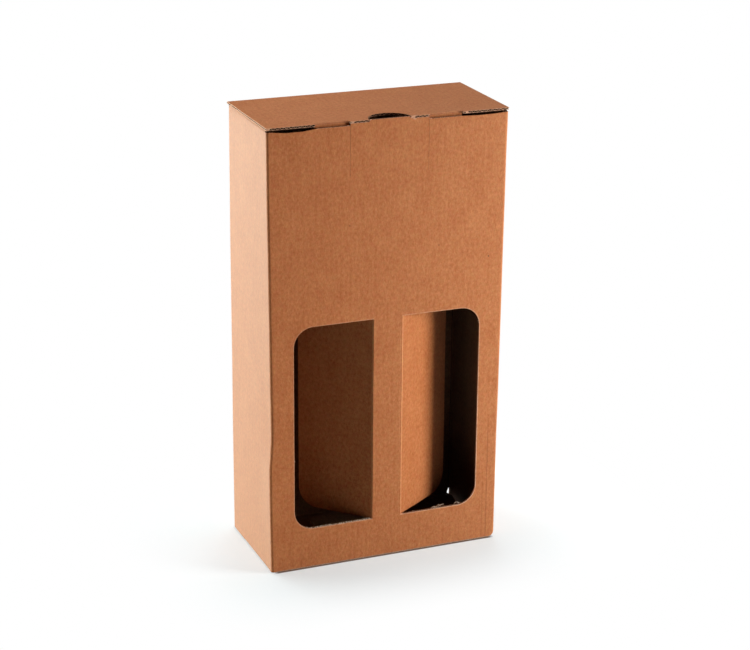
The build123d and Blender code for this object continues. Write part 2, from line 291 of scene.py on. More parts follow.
# How far a place lies from a point, counting only the axes that have one
def gapTo(tree, parts, point):
    total = 0.0
    for axis, middle in zip("XYZ", point):
        if middle is not None:
            offset = minus(tree, parts[axis], middle)
            total = calculate(tree, "MULTIPLY_ADD", offset, offset, total)
    return calculate(tree, "SQRT", total)


# The frayed paper round a window, most at its foot and at the right
def windowRim(tree, inMm, parts):
    beside = calculate(tree, "ABSOLUTE", parts["X"])
    half = (windowHead - windowFoot) / 2
    fromMiddle = calculate(tree, "ABSOLUTE", minus(tree, parts["Z"], windowFoot + half))
    across = minus(tree, beside, windowShape["outer"] - windowShape["corner"])
    along = minus(tree, fromMiddle, half - windowShape["corner"])
    past = longSide(tree, *[calculate(tree, "MAXIMUM", offset, 0.0) for offset in (across, along)])
    within = calculate(tree, "MINIMUM", calculate(tree, "MAXIMUM", across, along), 0.0)
    gap = minus(tree, calculate(tree, "ADD", past, within), windowShape["corner"])
    return times(
        tree,
        remap(tree, gap, windowShape["rim"] * 0.4, windowShape["rim"], 1, 0),
        calculate(tree, "GREATER_THAN", beside, bandEdge),
        remap(tree, noiseAt(tree, inMm, *rimShows["noise"]), *rimShows["patches"]),
        remap(tree, parts["Z"], windowFoot + rimShows["fadesAbove"], windowHead, 1.0, rimShows["atHead"]),
        remap(tree, parts["X"], -halfWidth, halfWidth, *rimShows["leftToRight"]),
    )


def makeCrushGroup():
    marks = ("Line", "Speck", "Torn", "Rim")
    tree, given, result = newGroup("crushedFlutes", {"Position": "Vector"}, dict.fromkeys(marks, "Float"))
    inMm = inMillimetres(tree, given["Position"])
    parts = partsOf(tree, inMm)
    onFront = calculate(tree, "LESS_THAN", parts["Y"], 0.5 - halfDepth)
    wander = minus(tree, noiseAt(tree, inMm, *crushedFlutes["wanderNoise"]), 0.5)
    total = 0.0
    footFade, headFade = crushedFlutes["ends"]
    for x, low, high, half, strength in crushedFlutes["lines"]:
        offset = calculate(tree, "ABSOLUTE", minus(tree, parts["X"], x))
        offset = calculate(tree, "MULTIPLY_ADD", wander, crushedFlutes["wander"], offset)
        line = remap(tree, offset, 0.1, half + 0.3, strength, 0.0)
        foot = remap(tree, parts["Z"], low, low + footFade)
        head = remap(tree, parts["Z"], high - headFade, high, 1, 0)
        total = calculate(tree, "MAXIMUM", total, times(tree, line, foot, head))
    total = times(tree, total, onFront)

    y, z, half, strength = crushedFlutes["strapCrease"]
    crease = remap(tree, gapTo(tree, parts, (None, y, z)), half * 0.3, half, strength, 0.0)
    beside = calculate(tree, "ABSOLUTE", parts["X"])
    pastSlot = calculate(tree, "GREATER_THAN", beside, slotEdge)
    shortOfEnd = calculate(tree, "LESS_THAN", beside, strapEdge)
    total = calculate(tree, "MAXIMUM", total, times(tree, crease, pastSlot, shortOfEnd))

    dots = 0.0
    for x, z, radius in crushedFlutes["specks"]:
        gap = gapTo(tree, parts, (x, None, z))
        dots = calculate(tree, "MAXIMUM", dots, remap(tree, gap, radius * 0.5, radius * 1.3, 1, 0))
    speck = times(tree, dots, onFront)
    rim = times(tree, windowRim(tree, inMm, parts), onFront)

    *corner, reach = crushedFlutes["torn"]
    patch = remap(tree, gapTo(tree, parts, corner), reach * 0.4, reach, 1, 0)
    ragged = remap(tree, noiseAt(tree, inMm, *crushedFlutes["tornNoise"]), *crushedFlutes["tornAbove"])
    torn = times(tree, patch, ragged)
    feed(tree, result, {"Line": total, "Speck": speck, "Torn": torn, "Rim": rim})
    return tree


paperGroup = makePaperGroup()
wearAndFootShadeGroup = makeWearAndFootShadeGroup()
crushGroup = makeCrushGroup()
print("Node groups made")

# What each finish of the paper looks like. What a finish doesn't name is as in plainPaper. Only the outer
# papers have a painted light and shade across the sheet, and with it the marks below.
plainPaper = {
    "clouds": 0.6,
    "streaks": 0.5,
    "grain": 2.2,
    "fibres": 0.7,
    "tints": 0.18,
    "flutes": 0.0,
    "specular": 0.2,
    "sheen": 0.05,
}
paperFinishes = {
    "kraftOutside": {
        "dark": (0.375, 0.09, 0.015),
        "light": (0.56, 0.21, 0.068),
        "streaks": 0.75,
        "grain": 1.9,
        "flutes": 0.009,
        "specular": 0.22,
        "sheen": 0.85,
        # painted sheen: the tone turns greyer towards the right, where the right-hand lamp shines
        "paintedLightAcross": ((0.975, 0.92, 0.87), (0.975, 1.0, 1.07)),  # tone at the sheet's left and right
    },
    # the outer paper on the lid and the dividers, with less sheen; its darker colour is painted shade
    "kraftMattShaded": {
        "dark": (0.325, 0.08, 0.014),
        "light": (0.50, 0.188, 0.062),
        "flutes": 0.006,
        "specular": 0.12,
        "sheen": 0.22,
        # painted light and shade: lighter and greyer at the left, darker at the right
        "paintedLightAcross": ((1.10, 1.12, 1.25), (0.93, 0.92, 0.98)),
    },
    # the inner paper, darker and greyer than the outer: partly painted shade for the dim inside of the box
    "kraftInside": {
        "dark": (0.17, 0.075, 0.035),
        "light": (0.30, 0.155, 0.080),
        "clouds": 0.5,
        "flutes": 0.008,
    },
    "kraftRawEdge": {
        "dark": (0.42, 0.19, 0.10),
        "light": (0.78, 0.46, 0.30),
        "clouds": 0.4,
        "streaks": 0.3,
        "grain": 0.7,
        "fibres": 0.5,
        "tints": 0.2,
        "specular": 0.15,
    },
    "kraftFold": {
        "dark": (0.40, 0.135, 0.040),
        "light": (0.66, 0.27, 0.10),
        "clouds": 0.3,
        "streaks": 0.2,
        "grain": 1.1,
        "fibres": 0.5,
        "tints": 0.3,
        "specular": 0.3,
        "sheen": 0.4,
    },
}

# The marks on the outer paper: how strongly each shows, its colour or its tone against the paper's own, and
# how far it rises, in millimetres
paperMarks = {
    "rubShows": 0.45,
    "rubTone": 1.5,
    # painted shade along the foot of the walls
    "footShadeShows": 0.7,
    "footShadeTone": 0.3,
    "lineShows": 0.4,
    "lineTone": 0.55,
    "lineRise": -0.12,
    "speckColour": (0.09, 0.03, 0.012),
    "frayShows": 0.75,
    "frayColour": (0.74, 0.46, 0.30),
    "tornRise": 0.15,
}
paperGloss = {"ior": 1.48, "sheenRoughness": 0.45, "sheenTint": (0.95, 0.93, 0.76)}


def newMaterial(name):
    material = bpy.data.materials.new(name)
    material.use_nodes = True
    tree = material.node_tree
    return material, tree, tree.nodes["Principled BSDF"]


# Painted light and shade across the sheet, rubbed folds, painted shade at the foot of the walls, crushed
# flutes, specks and frayed edges
def markPaper(tree, finish, colour, height):
    position = addNode(tree, "TexCoord").outputs["Object"]
    # painted light and shade: the paper's tone changes from the sheet's left to its right
    across = remap(tree, partsOf(tree, position)["X"], -halfWidth * mm, halfWidth * mm)
    left, right = [(*tone, 1) for tone in finish["paintedLightAcross"]]
    colour = mixColours(tree, 1.0, colour, mixColours(tree, across, left, right), "MULTIPLY")
    wearAndFootShade = addNode(tree, "Group", {"node_tree": wearAndFootShadeGroup}, {"Position": position}).outputs
    crush = addNode(tree, "Group", {"node_tree": crushGroup}, {"Position": position}).outputs
    frayed = calculate(tree, "MAXIMUM", crush["Torn"], crush["Rim"])
    rubbed = [min(1, part * paperMarks["rubTone"]) for part in finish["light"]]
    # painted shade along the foot of the walls: the paper's dark colour, darker still
    footShaded = [part * paperMarks["footShadeTone"] for part in finish["dark"]]
    crushed = [part * paperMarks["lineTone"] for part in finish["dark"]]
    for mask, strength, tone in (
        (wearAndFootShade["Mask"], paperMarks["rubShows"], rubbed),
        (wearAndFootShade["FootShade"], paperMarks["footShadeShows"], footShaded),
        (crush["Line"], paperMarks["lineShows"], crushed),
        (crush["Speck"], 1.0, paperMarks["speckColour"]),
        (frayed, paperMarks["frayShows"], paperMarks["frayColour"]),
    ):
        colour = mixColours(tree, times(tree, mask, strength), colour, (*tone, 1))
    height = calculate(tree, "MULTIPLY_ADD", crush["Line"], paperMarks["lineRise"], height)
    height = calculate(tree, "MULTIPLY_ADD", crush["Torn"], paperMarks["tornRise"], height)
    return colour, height


def makePaper(name):
    finish = {**plainPaper, **paperFinishes[name]}
    material, tree, shader = newMaterial(name)
    uv = addNode(tree, "UVMap", {"uv_map": "boardPattern"}).outputs["UV"]
    paper = addNode(tree, "Group", {"node_tree": paperGroup}, {"Pattern": inMillimetres(tree, uv)})
    for label in ("Dark", "Light"):
        paper.inputs[label].default_value = (*finish[label.lower()], 1)
    for label in paperAmounts:
        paper.inputs[label].default_value = finish[label.lower()]
    colour = paper.outputs["Color"]
    height = paper.outputs["Height"]
    if "paintedLightAcross" in finish:
        colour, height = markPaper(tree, finish, colour, height)
    bump = addNode(tree, "Bump", None, {"Strength": 1.0, "Distance": mm, "Height": height})
    inputs = {
        "Base Color": colour,
        "Roughness": paper.outputs["Roughness"],
        "Normal": bump.outputs["Normal"],
        "IOR": paperGloss["ior"],
        "Specular IOR Level": finish["specular"],
        "Sheen Weight": finish["sheen"],
        "Sheen Roughness": paperGloss["sheenRoughness"],
        "Sheen Tint": (*paperGloss["sheenTint"], 1),
    }
    feed(tree, shader, inputs)
    return material


# The far end of a cut flute is only the start of a long dark tube, and its walls darken towards it: their
# near-black colours are painted shade. Torn fibres are pale. What isn't named is as in tubeFinish, and grain
# is noise per metre and its roughness.
tubeFinish = {"grain": (900.0, 0.5), "roughness": 1.0, "specular": 0.0}
plainFinishes = {
    "fluteDepthPaintedShade": {"dark": (0.012, 0.006, 0.004), "light": (0.045, 0.022, 0.013)},
    "fluteWallPaintedShade": {"dark": (0.022, 0.010, 0.006), "light": (0.075, 0.034, 0.018)},
    "tornFibre": {
        "dark": (0.48, 0.34, 0.24),
        "light": (0.85, 0.70, 0.55),
        "grain": (700.0, 0.6),
        "roughness": 0.9,
        "specular": 0.2,
    },
}


def makePlain(name):
    finish = {**tubeFinish, **plainFinishes[name]}
    material, tree, shader = newMaterial(name)
    position = addNode(tree, "TexCoord").outputs["Object"]
    scale, rough = finish["grain"]
    dark, light = [(*finish[tone], 1) for tone in ("dark", "light")]
    colour = mixColours(tree, noiseAt(tree, position, scale, 2, rough), dark, light)
    gloss = {"Roughness": finish["roughness"], "Specular IOR Level": finish["specular"]}
    feed(tree, shader, {"Base Color": colour, **gloss})
    return material


finishes = [makePaper(name) for name in paperFinishes]
finishes += [makePlain(name) for name in ("fluteDepthPaintedShade", "fluteWallPaintedShade")]
fibreMaterial = makePlain("tornFibre")
outside, shadedMattOutside, inside, rawEdge, fold, fluteEndPaintedShade, fluteWallPaintedShade = range(7)
print("Materials made")


axes = {"x": Vector((1, 0, 0)), "y": Vector((0, 1, 0)), "z": Vector((0, 0, 1))}


def middleOf(face):
    return face.calc_center_median() / mm


def addObject(name, data):
    item = bpy.data.objects.new(name, data)
    scene.collection.objects.link(item)
    return item


# Pieces of board: a merged copy of the CAD node, whose faces are told apart before it is cut finer

def boardCopy(nodeName):
    bm = bmesh.new()
    bm.from_mesh(frame["nodes"][nodeName].data)
    bmesh.ops.remove_doubles(bm, verts=bm.verts, dist=0.002 * mm)
    bmesh.ops.dissolve_limit(bm, angle_limit=radians(0.4), verts=bm.verts, edges=bm.edges)
    return bm


def splitFaces(bm, choose, normal, places):
    for place in places:
        faces = [face for face in bm.faces if choose(face)]
        edges = {edge for face in faces for edge in face.edges}
        verts = {vert for face in faces for vert in face.verts}
        geom = list(verts) + list(edges) + faces
        bmesh.ops.bisect_plane(bm, geom=geom, dist=0.01 * mm, plane_co=normal * place * mm, plane_no=normal)


def cutAcross(bm, axis, places, keep=lambda face: True):
    splitFaces(bm, lambda face: face.material_index < rawEdge and keep(face), axes[axis], places)


# A cut along a flute shows the hollow between the liners as a painted dark line of shade, this far from the
# board's face
hollowLine = {"near": 0.5, "far": 1.1}


def darkenMiddle(bm, choose, normal, low, high):
    splitFaces(bm, choose, normal, (low, high))
    bm.normal_update()
    for face in bm.faces:
        if choose(face) and low < middleOf(face).dot(normal) < high:
            face.material_index = fluteWallPaintedShade


def evenly(low, high, step):
    count = max(1, round((high - low) / step))
    return [low + (high - low) * index / count for index in range(count + 1)]


# The hollows' far ends are the only small four-cornered faces with a flute's section
def isFluteEnd(face):
    section = (board["fluteMouth"] + board["fluteCrest"]) / 2 * board["fluteRise"]
    return len(face.verts) == 4 and abs(face.calc_area() / mm / mm - section) < 0.03 * section


def paintFaces(bm, chooseFinish, choosePattern, fluteAxis, acrossFlutes):
    layer = bm.loops.layers.uv.new("boardPattern")
    for face in bm.faces:
        place = middleOf(face)
        face.material_index = chooseFinish(place, face.normal)
        # the flutes' far ends and the walls of hollows along the flutes get the painted flute shade
        if abs(face.normal.dot(fluteAxis)) > 0.99 and isFluteEnd(face):
            face.material_index = fluteEndPaintedShade
        elif face.material_index == rawEdge:
            alongFlute = abs(face.normal.dot(fluteAxis)) < 0.1
            if alongFlute and abs(face.normal.dot(acrossFlutes)) < 0.95:
                face.material_index = fluteWallPaintedShade
        for loop in face.loops:
            loop[layer].uv = choosePattern(place, face.normal, loop.vert.co)


# Settle says where each point of the piece as cut has gone on the real box
def finishPiece(bm, name, settle, materials=None, sharpAngle=32):
    for vert in bm.verts:
        vert.co = settle(vert.co)
    bm.normal_update()
    for edge in bm.edges:
        if len(edge.link_faces) == 2:
            edge.smooth = edge.calc_face_angle() < radians(sharpAngle)
    mesh = bpy.data.meshes.new(name)
    bm.to_mesh(mesh)
    bm.free()
    for material in materials or finishes:
        mesh.materials.append(material)
    piece = addObject(name, mesh)
    for polygon in mesh.polygons:
        polygon.use_smooth = True
    weighted = piece.modifiers.new("weightedNormals", "WEIGHTED_NORMAL")
    weighted.keep_sharp = True
    print(name, len(mesh.polygons), "faces")
    return piece


# How far a point lies outside the middle of the walls' board
def wallOffset(place):
    bend = board["foldRadius"] - board["thick"] / 2
    across = abs(place.x) - (halfWidth - board["thick"] / 2 - bend)
    along = abs(place.y) - (halfDepth - board["thick"] / 2 - bend)
    return hypot(max(across, 0), max(along, 0)) + min(max(across, along), 0) - bend


levels = {
    "bottomFlaps": 7.2,  # the bottom flaps lie below this height
    "topFolds": 335.0,  # the dust flaps and the back fold start above this one
    "dustEdge": 41.4,
    "flat": 0.35,  # a face is flat when its normal's Z is more than this
    "near": 0.15,  # how far a face may lie from where its layer is looked for
    "sideFlapLow": 1.65,
    "sideFlapHigh": 3.35,
    "sideFlapRamp": 75.45,
}


def cartonFinish(place, normal):
    offset = wallOffset(place)
    half = board["thick"] / 2
    if abs(normal.z) < levels["flat"]:
        # the dust flaps' front edges lie in shade and get the painted flute shade
        if place.z > levels["topFolds"] and normal.y < -0.9 and offset < -half - 0.05:
            return fluteWallPaintedShade  # the dust flaps' front edges
        if abs(abs(offset) - half) < levels["near"]:
            return outside if offset > 0 else inside
        return inside if abs(offset + 3 * half) < levels["near"] else rawEdge
    if place.z < levels["bottomFlaps"]:
        return outside if normal.z < 0 else inside
    if place.z > levels["topFolds"] and abs(place.y) < levels["dustEdge"]:
        return outside if normal.z > 0 else inside
    if place.z > frontTop + 0.1 and place.y > levels["dustEdge"] and normal.y > -0.2:
        return outside if normal.z > 0 else inside
    # the front's top edge under the lid lies in shade and gets the painted flute shade
    underLid = strapEdge - 1 < abs(place.x) < halfWidth - 5
    if underLid and place.z > frontTop - 0.1 and place.y < -levels["dustEdge"]:
        return fluteWallPaintedShade
    return rawEdge


def cartonPattern(place, normal, point):
    flat = abs(normal.z) >= levels["flat"]
    onRamp = abs(place.x) > levels["sideFlapRamp"] and abs(normal.x) > 0.05
    if flat and place.z < levels["bottomFlaps"]:
        onSideFlap = onRamp or levels["sideFlapLow"] < place.z < levels["sideFlapHigh"]
        return (point.y, point.x) if onSideFlap else (point.x, point.y)
    if flat and place.z > levels["topFolds"] and abs(place.y) < levels["dustEdge"]:
        return point.y, point.x
    if abs(normal.x) > abs(normal.y):
        return point.y, point.z
    return point.x, point.z


# How the standing box has shifted, as (height, shift along X) down each upright fold
boxWander = {
    "frontLeft": [(0, -0.2), (60, -0.35), (120, 0.2), (180, 0.2), (230, -0.2), (290, -0.7), (336, -0.8)],
    "frontRight": [(0, -1.1), (80, -1.0), (130, -0.5), (200, -0.1), (300, 0.4), (336, 0.85)],
    "backLeft": [(0, -0.8), (80, -0.8), (150, -0.5), (230, -0.4), (290, 0.0), (336, 0.3)],
    "backRight": [(0, -0.6), (150, -0.3), (336, 0.1)],
    "knock": [
        (0, 0), (40, -0.3), (62, -0.5), (84, -0.6), (96, 0.05), (108, 0.6), (125, 0.45), (155, 0.1), (180, 0),
    ],
    "knockReach": (9.0, 24.0),  # across the front and round on the side
    "windowEdge": 74.0,  # the panels between the upright folds keep still up to here
    "ripple": 0.3,
    "rippleSize": 46.0,
    "rippleEnds": (14.0, 318.0),
    "rippleFades": (30, 40),  # over these heights, at its foot and at its head
    "rippleWide": 14,  # and over this much beside an upright fold
    "sideMiddle": 28,  # the sides' ripple is whole up to here
    "crush": (1.2, -0.9, 0.5),  # the front right foot: up, left and back
    "crushReach": 5.0,
    "sideEdge": 17.9,  # behind this the right side's lower edge hangs down to the floor
    "sideDrop": 0.85,
    "sideCut": 0.6,  # how far the hanging edge's front end slants forward
    "topDip": {-1: 1.1, 1: 0.5},  # how far the front's top edge dips between the tuck's straps and the folds
    "dipDeep": 8,
    "dipFades": (8, 10),  # over these lengths, at the straps and at the folds
    "dipShort": 3,  # it ends this far from the folds
}


def smoothStep(value):
    value = min(max(value, 0), 1)
    return value * value * (3 - 2 * value)


def between(pairs, height):
    if height <= pairs[0][0]:
        return pairs[0][1]
    for (low, first), (high, second) in zip(pairs, pairs[1:]):
        if height <= high:
            return first + (second - first) * smoothStep((height - low) / (high - low))
    return pairs[-1][1]


def settledBox(point):
    place = point / mm
    rear = min(max((place.y + halfDepth) / (2 * halfDepth), 0), 1)
    end = 1 if place.x > 0 else -1
    side = "Left" if place.x < 0 else "Right"
    front, back = (between(boxWander[face + side], place.z) for face in ("front", "back"))
    edge = smoothStep((abs(place.x) - boxWander["windowEdge"]) / (halfWidth - boxWander["windowEdge"]))
    shift = Vector(((front * (1 - rear) + back * rear) * edge, 0, 0))
    reachFront, reachSide = boxWander["knockReach"]
    fade = smoothStep(1 - (place.x + halfWidth) / reachFront)
    fade *= smoothStep(1 - (place.y + halfDepth) / reachSide)
    shift.x += between(boxWander["knock"], place.z) * fade
    low, high = boxWander["rippleEnds"]
    fadeLow, fadeHigh = boxWander["rippleFades"]
    calm = smoothStep((place.z - low) / fadeLow) * smoothStep((high - place.z) / fadeHigh)
    wave = noise.noise_vector(place / boxWander["rippleSize"])
    sunk = -boxWander["ripple"] * calm * (0.5 + 0.5 * wave.y)
    middle = 1 - smoothStep((abs(place.x) - boxWander["windowEdge"]) / boxWander["rippleWide"])
    shift.y += sunk * middle * (1 if place.y > 0 else -1)
    across = 1 - smoothStep((abs(place.y) - boxWander["sideMiddle"]) / boxWander["rippleWide"])
    shift.x += sunk * across * end * edge
    if place.y < frontReach and abs(place.x) > strapEdge:
        atStrap, atFold = boxWander["dipFades"]
        dip = boxWander["topDip"][end] * smoothStep((place.z - frontTop) / boxWander["dipDeep"] + 1)
        dip *= smoothStep((abs(place.x) - strapEdge) / atStrap)
        shift.z -= dip * smoothStep((halfWidth - boxWander["dipShort"] - abs(place.x)) / atFold)
    foot = Vector((halfWidth, -halfDepth, 0))
    crush = smoothStep(1 - (place - foot).length / boxWander["crushReach"]) ** 1.5
    up, left, inward = boxWander["crush"]
    shift += Vector((left, inward, up)) * crush
    onSideEdge = place.x > halfWidth - 2 * board["thick"] and abs(place.z - 1) < 0.02
    if onSideEdge and place.y > boxWander["sideEdge"]:
        shift.z -= boxWander["sideDrop"]
        shift.y -= boxWander["sideCut"] if place.y < boxWander["sideEdge"] + 1 else 0
    return point + shift * mm


# The tongue's slits are cut by a thin knife: their outer walls close up to a hair's width
def closedSlit(point):
    place = point / mm
    besideTongue = place.y < frontReach and place.z > frontTop - tongue["length"]
    if besideTongue and abs(abs(place.x) - slotEdge) < 0.05:
        closing = (tongue["closedTo"] - tongue["slit"]) * mm
        return point + Vector((closing if place.x > 0 else -closing, 0, 0))
    return point


# Where the carton is cut finer, so that it can bend: the front's top edge, whose shade changes at the first
# and the last cut, and then all its walls
cartonCuts = {
    "topEdge": (strapEdge - 1, 60, 66, 72, 78, halfWidth - 5),
    "up": evenly(12, 330, 12) + evenly(64, 132, 4),
    "rightFoot": [1.0, 2.5, 4.5, 7.0],
    "across": evenly(-84, 84, 12) + [-88.5, -86, -78, 86.5, 88.5],
    "along": evenly(-36, 36, 9) + [-42, -39.5],
}


def makeCarton():
    bm = boardCopy("carton")

    def onTopEdge(face):
        place = middleOf(face)
        return face.normal.z > 0.9 and place.z > frontTop - 0.1 and place.y < -levels["dustEdge"]

    topCuts = cartonCuts["topEdge"]
    splitFaces(bm, onTopEdge, axes["x"], topCuts + tuple(-cut for cut in topCuts))
    paintFaces(bm, cartonFinish, cartonPattern, axes["z"], axes["x"])

    def onWindowSide(face):
        place = middleOf(face)
        sideways = abs(face.normal.x) > 0.95 and abs(abs(place.x) - windowShape["outer"]) < 0.5
        return sideways and face.material_index == rawEdge and place.y < frontReach

    # painted shade: a dark line along the middle of the windows' cut sides
    near, far = hollowLine["near"] - halfDepth, hollowLine["far"] - halfDepth
    darkenMiddle(bm, onWindowSide, axes["y"], near, far)
    cutAcross(bm, "z", cartonCuts["up"])
    cutAcross(bm, "z", cartonCuts["rightFoot"], lambda face: middleOf(face).x > 75)
    cutAcross(bm, "x", cartonCuts["across"])
    cutAcross(bm, "y", cartonCuts["along"])
    piece = finishPiece(bm, "carton_board", lambda point: settledBox(closedSlit(point)))
    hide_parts("carton")
    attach(piece, "carton")


# The lid with its tuck flap
def lidFinish(place, normal):
    middle = boxTop - board["thick"] / 2
    if abs(normal.x) > levels["flat"]:
        return rawEdge
    if abs(normal.z) > levels["flat"] and abs(abs(place.z - middle) - board["thick"] / 2) < 0.12:
        return shadedMattOutside if normal.z > 0 else inside
    onMitre = place.y > levels["dustEdge"] and normal.y > 0.2 and normal.z < -0.2
    if place.y > levels["dustEdge"]:
        return rawEdge if onMitre else shadedMattOutside
    onTuck = place.z < lidUnder - 0.1 and abs(normal.y) > levels["flat"]
    onStrapBend = place.y < 4.5 - halfDepth and place.z > frontTop - 1 and abs(place.x) > slotEdge
    if onTuck or (onStrapBend and place.y > 1.5 - halfDepth):
        return outside if normal.y < 0 or normal.z > 0.2 else inside
    return rawEdge


def lidPattern(place, normal, point):
    if abs(normal.z) > levels["flat"] and place.z > frontTop:
        return point.x, point.y
    return point.x, point.z


lidShape = {
    "bow": -0.35,
    "bowReach": (60, 30),  # the bow is whole this far in from the sides and from the front and back
    "ripple": 0.12,
    "rippleSize": 50.0,
    # the lid's front edge gets dark bands of painted shade where half flutes would show
    "hollows": [(-58.4, -56.7), (-30.1, -29.4), (29.4, 30.1), (56.7, 58.4)],  # half flutes beside the cuts
    "hollowLiner": 0.35,
    "cutsAcross": evenly(-84, 84, 12),
    "cutsAlong": evenly(-36, 38, 9),
}


def settledLid(point):
    place = point / mm
    reachAcross, reachAlong = lidShape["bowReach"]
    inward = smoothStep((halfWidth - abs(place.x)) / reachAcross)
    inward *= smoothStep((halfDepth - abs(place.y)) / reachAlong)
    wave = noise.noise(place / lidShape["rippleSize"]) * lidShape["ripple"]
    drop = lidShape["bow"] * inward + wave * inward
    return point + Vector((0, 0, drop * mm if place.z > lidUnder - 0.2 else 0))


def makeLid():
    bm = boardCopy("lid")
    paintFaces(bm, lidFinish, lidPattern, axes["y"], axes["x"])
    lidEdge = lidHigh.x / mm

    def onSideEdge(face):
        return abs(face.normal.x) > 0.95 and abs(middleOf(face).x) > lidEdge - 0.1

    def onFrontEdge(face):
        return face.material_index == rawEdge and face.normal.y < -0.95 and middleOf(face).z > lidUnder

    def onHollow(face):
        return onFrontEdge(face) and low < middleOf(face).x < high

    # painted shade: a dark line along the lid's side edges, and dark bands on its front edge
    near, far = lidUnder + hollowLine["near"], lidUnder + hollowLine["far"]
    darkenMiddle(bm, onSideEdge, axes["z"], near, far)
    liner = lidShape["hollowLiner"]
    for low, high in lidShape["hollows"]:
        splitFaces(bm, onFrontEdge, axes["x"], (low, high))
        darkenMiddle(bm, onHollow, axes["z"], lidUnder + liner, boxTop - liner)
    cutAcross(bm, "x", lidShape["cutsAcross"])
    cutAcross(bm, "y", lidShape["cutsAlong"])
    piece = finishPiece(bm, "lid_board", settledLid)
    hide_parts("lid")
    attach(piece, "lid")


# The dividers, each turned inward about the edge of the band
dividers = {
    "left": {"side": -1, "angle": 46.0, "node": "divider_left", "bow": 0.5},
    "right": {"side": 1, "angle": 35.0, "node": "divider_right", "bow": 0.7},
}
dividerShape = {
    "wide": 62,
    "ripple": 0.25,
    "rippleSize": (40, 60),  # across and up
    "rippleFrom": 12,  # it is whole this far from the crease
    "cutsAlong": (3, 8, 16, 24, 32, 40, 48, 56),
    "cutsUp": evenly(40, 184, 12),
}

# The folds that move, in millimetres: the round and the stretch that turns, either side of the crease
foldShape = {
    "round": 1.5,
    "turning": 0.9,
    "chamfer": 0.3,
    "skin": 0.3,
    "steps": 8,
    "short": 0.2,  # how far a divider's fold stays inside its window
    "filled": 0.8,  # how much of the board's thickness it fills
    "proud": 0.01,
    "backShort": 3.1,  # how far the back fold stays inside the walls
    "backProud": 0.02,
    "creaseProud": 0.03,
    "backSkin": (22, 68),  # where its skin begins and ends, in degrees
    "backSkinUnder": (66, 24),
    "backLap": 1.2,  # how far its lining reaches past the round, on the wall and on the lid
}


# The divider's crease goes where the band's edge has gone
def foldShift(side, height):
    point = Vector((side * bandEdge, -halfDepth, height)) * mm
    return settledBox(point) - point


def dividerAxes(divider):
    side, angle = divider["side"], radians(divider["angle"])
    hinge = Vector((side * bandEdge, -halfDepth, 0))
    along = Vector((side * cos(angle), sin(angle), 0))
    outward = Vector((side * sin(angle), -cos(angle), 0))
    return hinge, along, outward


def makeDivider(name):
    divider = dividers[name]
    hinge, along, outward = dividerAxes(divider)

    def dividerFinish(place, normal):
        depth = (place - hinge).dot(outward)
        if abs(normal.dot(outward)) > 0.97:
            if abs(depth) < 0.08:
                return shadedMattOutside
            if abs(depth + board["thick"]) < 0.08:
                return inside
        return rawEdge

    def dividerPattern(place, normal, point):
        return (point - hinge * mm).dot(along), point.z

    bm = boardCopy(divider["node"])
    paintFaces(bm, dividerFinish, dividerPattern, axes["z"], along)
    reaches = (0.5, foldShape["round"], *dividerShape["cutsAlong"])
    places = [hinge.dot(along) + reach for reach in reaches]
    splitFaces(bm, lambda face: face.material_index < rawEdge, along, places)
    cutAcross(bm, "z", dividerShape["cutsUp"])
    sizeAcross, sizeUp = dividerShape["rippleSize"]

    def settle(point):
        place = point / mm
        reach = (place - hinge).dot(along)
        bow = divider["bow"] * sin(pi * min(max(reach / dividerShape["wide"], 0), 1))
        wave = noise.noise(Vector((reach / sizeAcross, place.z / sizeUp, divider["side"])))
        wave *= dividerShape["ripple"] * smoothStep(reach / dividerShape["rippleFrom"])
        chamfer = foldShape["chamfer"] * smoothStep(1 - reach / foldShape["round"])
        return (place + outward * (bow + wave - chamfer)) * mm + foldShift(divider["side"], place.z)

    piece = finishPiece(bm, divider["node"] + "_board", settle)
    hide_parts(divider["node"])
    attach(piece, divider["node"])


# A bent strip of board over a crease, from its sections' points in millimetres. Span is its lower end, its
# upper end and the length of its pieces.
def makeStrip(name, sections, axis, span, bodies, start, end, settle=lambda point: point):
    low, high, step = span
    bm = bmesh.new()
    sweep = axes[axis]
    for section in sections:
        verts = [bm.verts.new((point + sweep * low) * mm) for point in section]
        face = bm.faces.new(verts)
        grown = bmesh.ops.extrude_face_region(bm, geom=[face])["geom"]
        moved = [item for item in grown if isinstance(item, bmesh.types.BMVert)]
        bmesh.ops.translate(bm, verts=moved, vec=sweep * (high - low) * mm)
    splitFaces(bm, lambda face: True, sweep, evenly(low, high, step)[1:-1])
    bmesh.ops.recalc_face_normals(bm, faces=bm.faces)
    layer = bm.loops.layers.uv.new("boardPattern")
    for face in bm.faces:
        face.material_index = rawEdge if abs(face.normal.dot(sweep)) > 0.9 else fold
        for loop in face.loops:
            point = loop.vert.co
            loop[layer].uv = (point.x, point.z) if axis == "z" else (point.x, point.y + point.z)
    piece = finishPiece(bm, name, settle, sharpAngle=50)
    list(bodies)
    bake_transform(piece)


def bezier(first, middle, last):
    return [
        first * (1 - share) ** 2 + middle * 2 * share * (1 - share) + last * share * share
        for share in evenly(0, 1, 1 / foldShape["steps"])
    ]


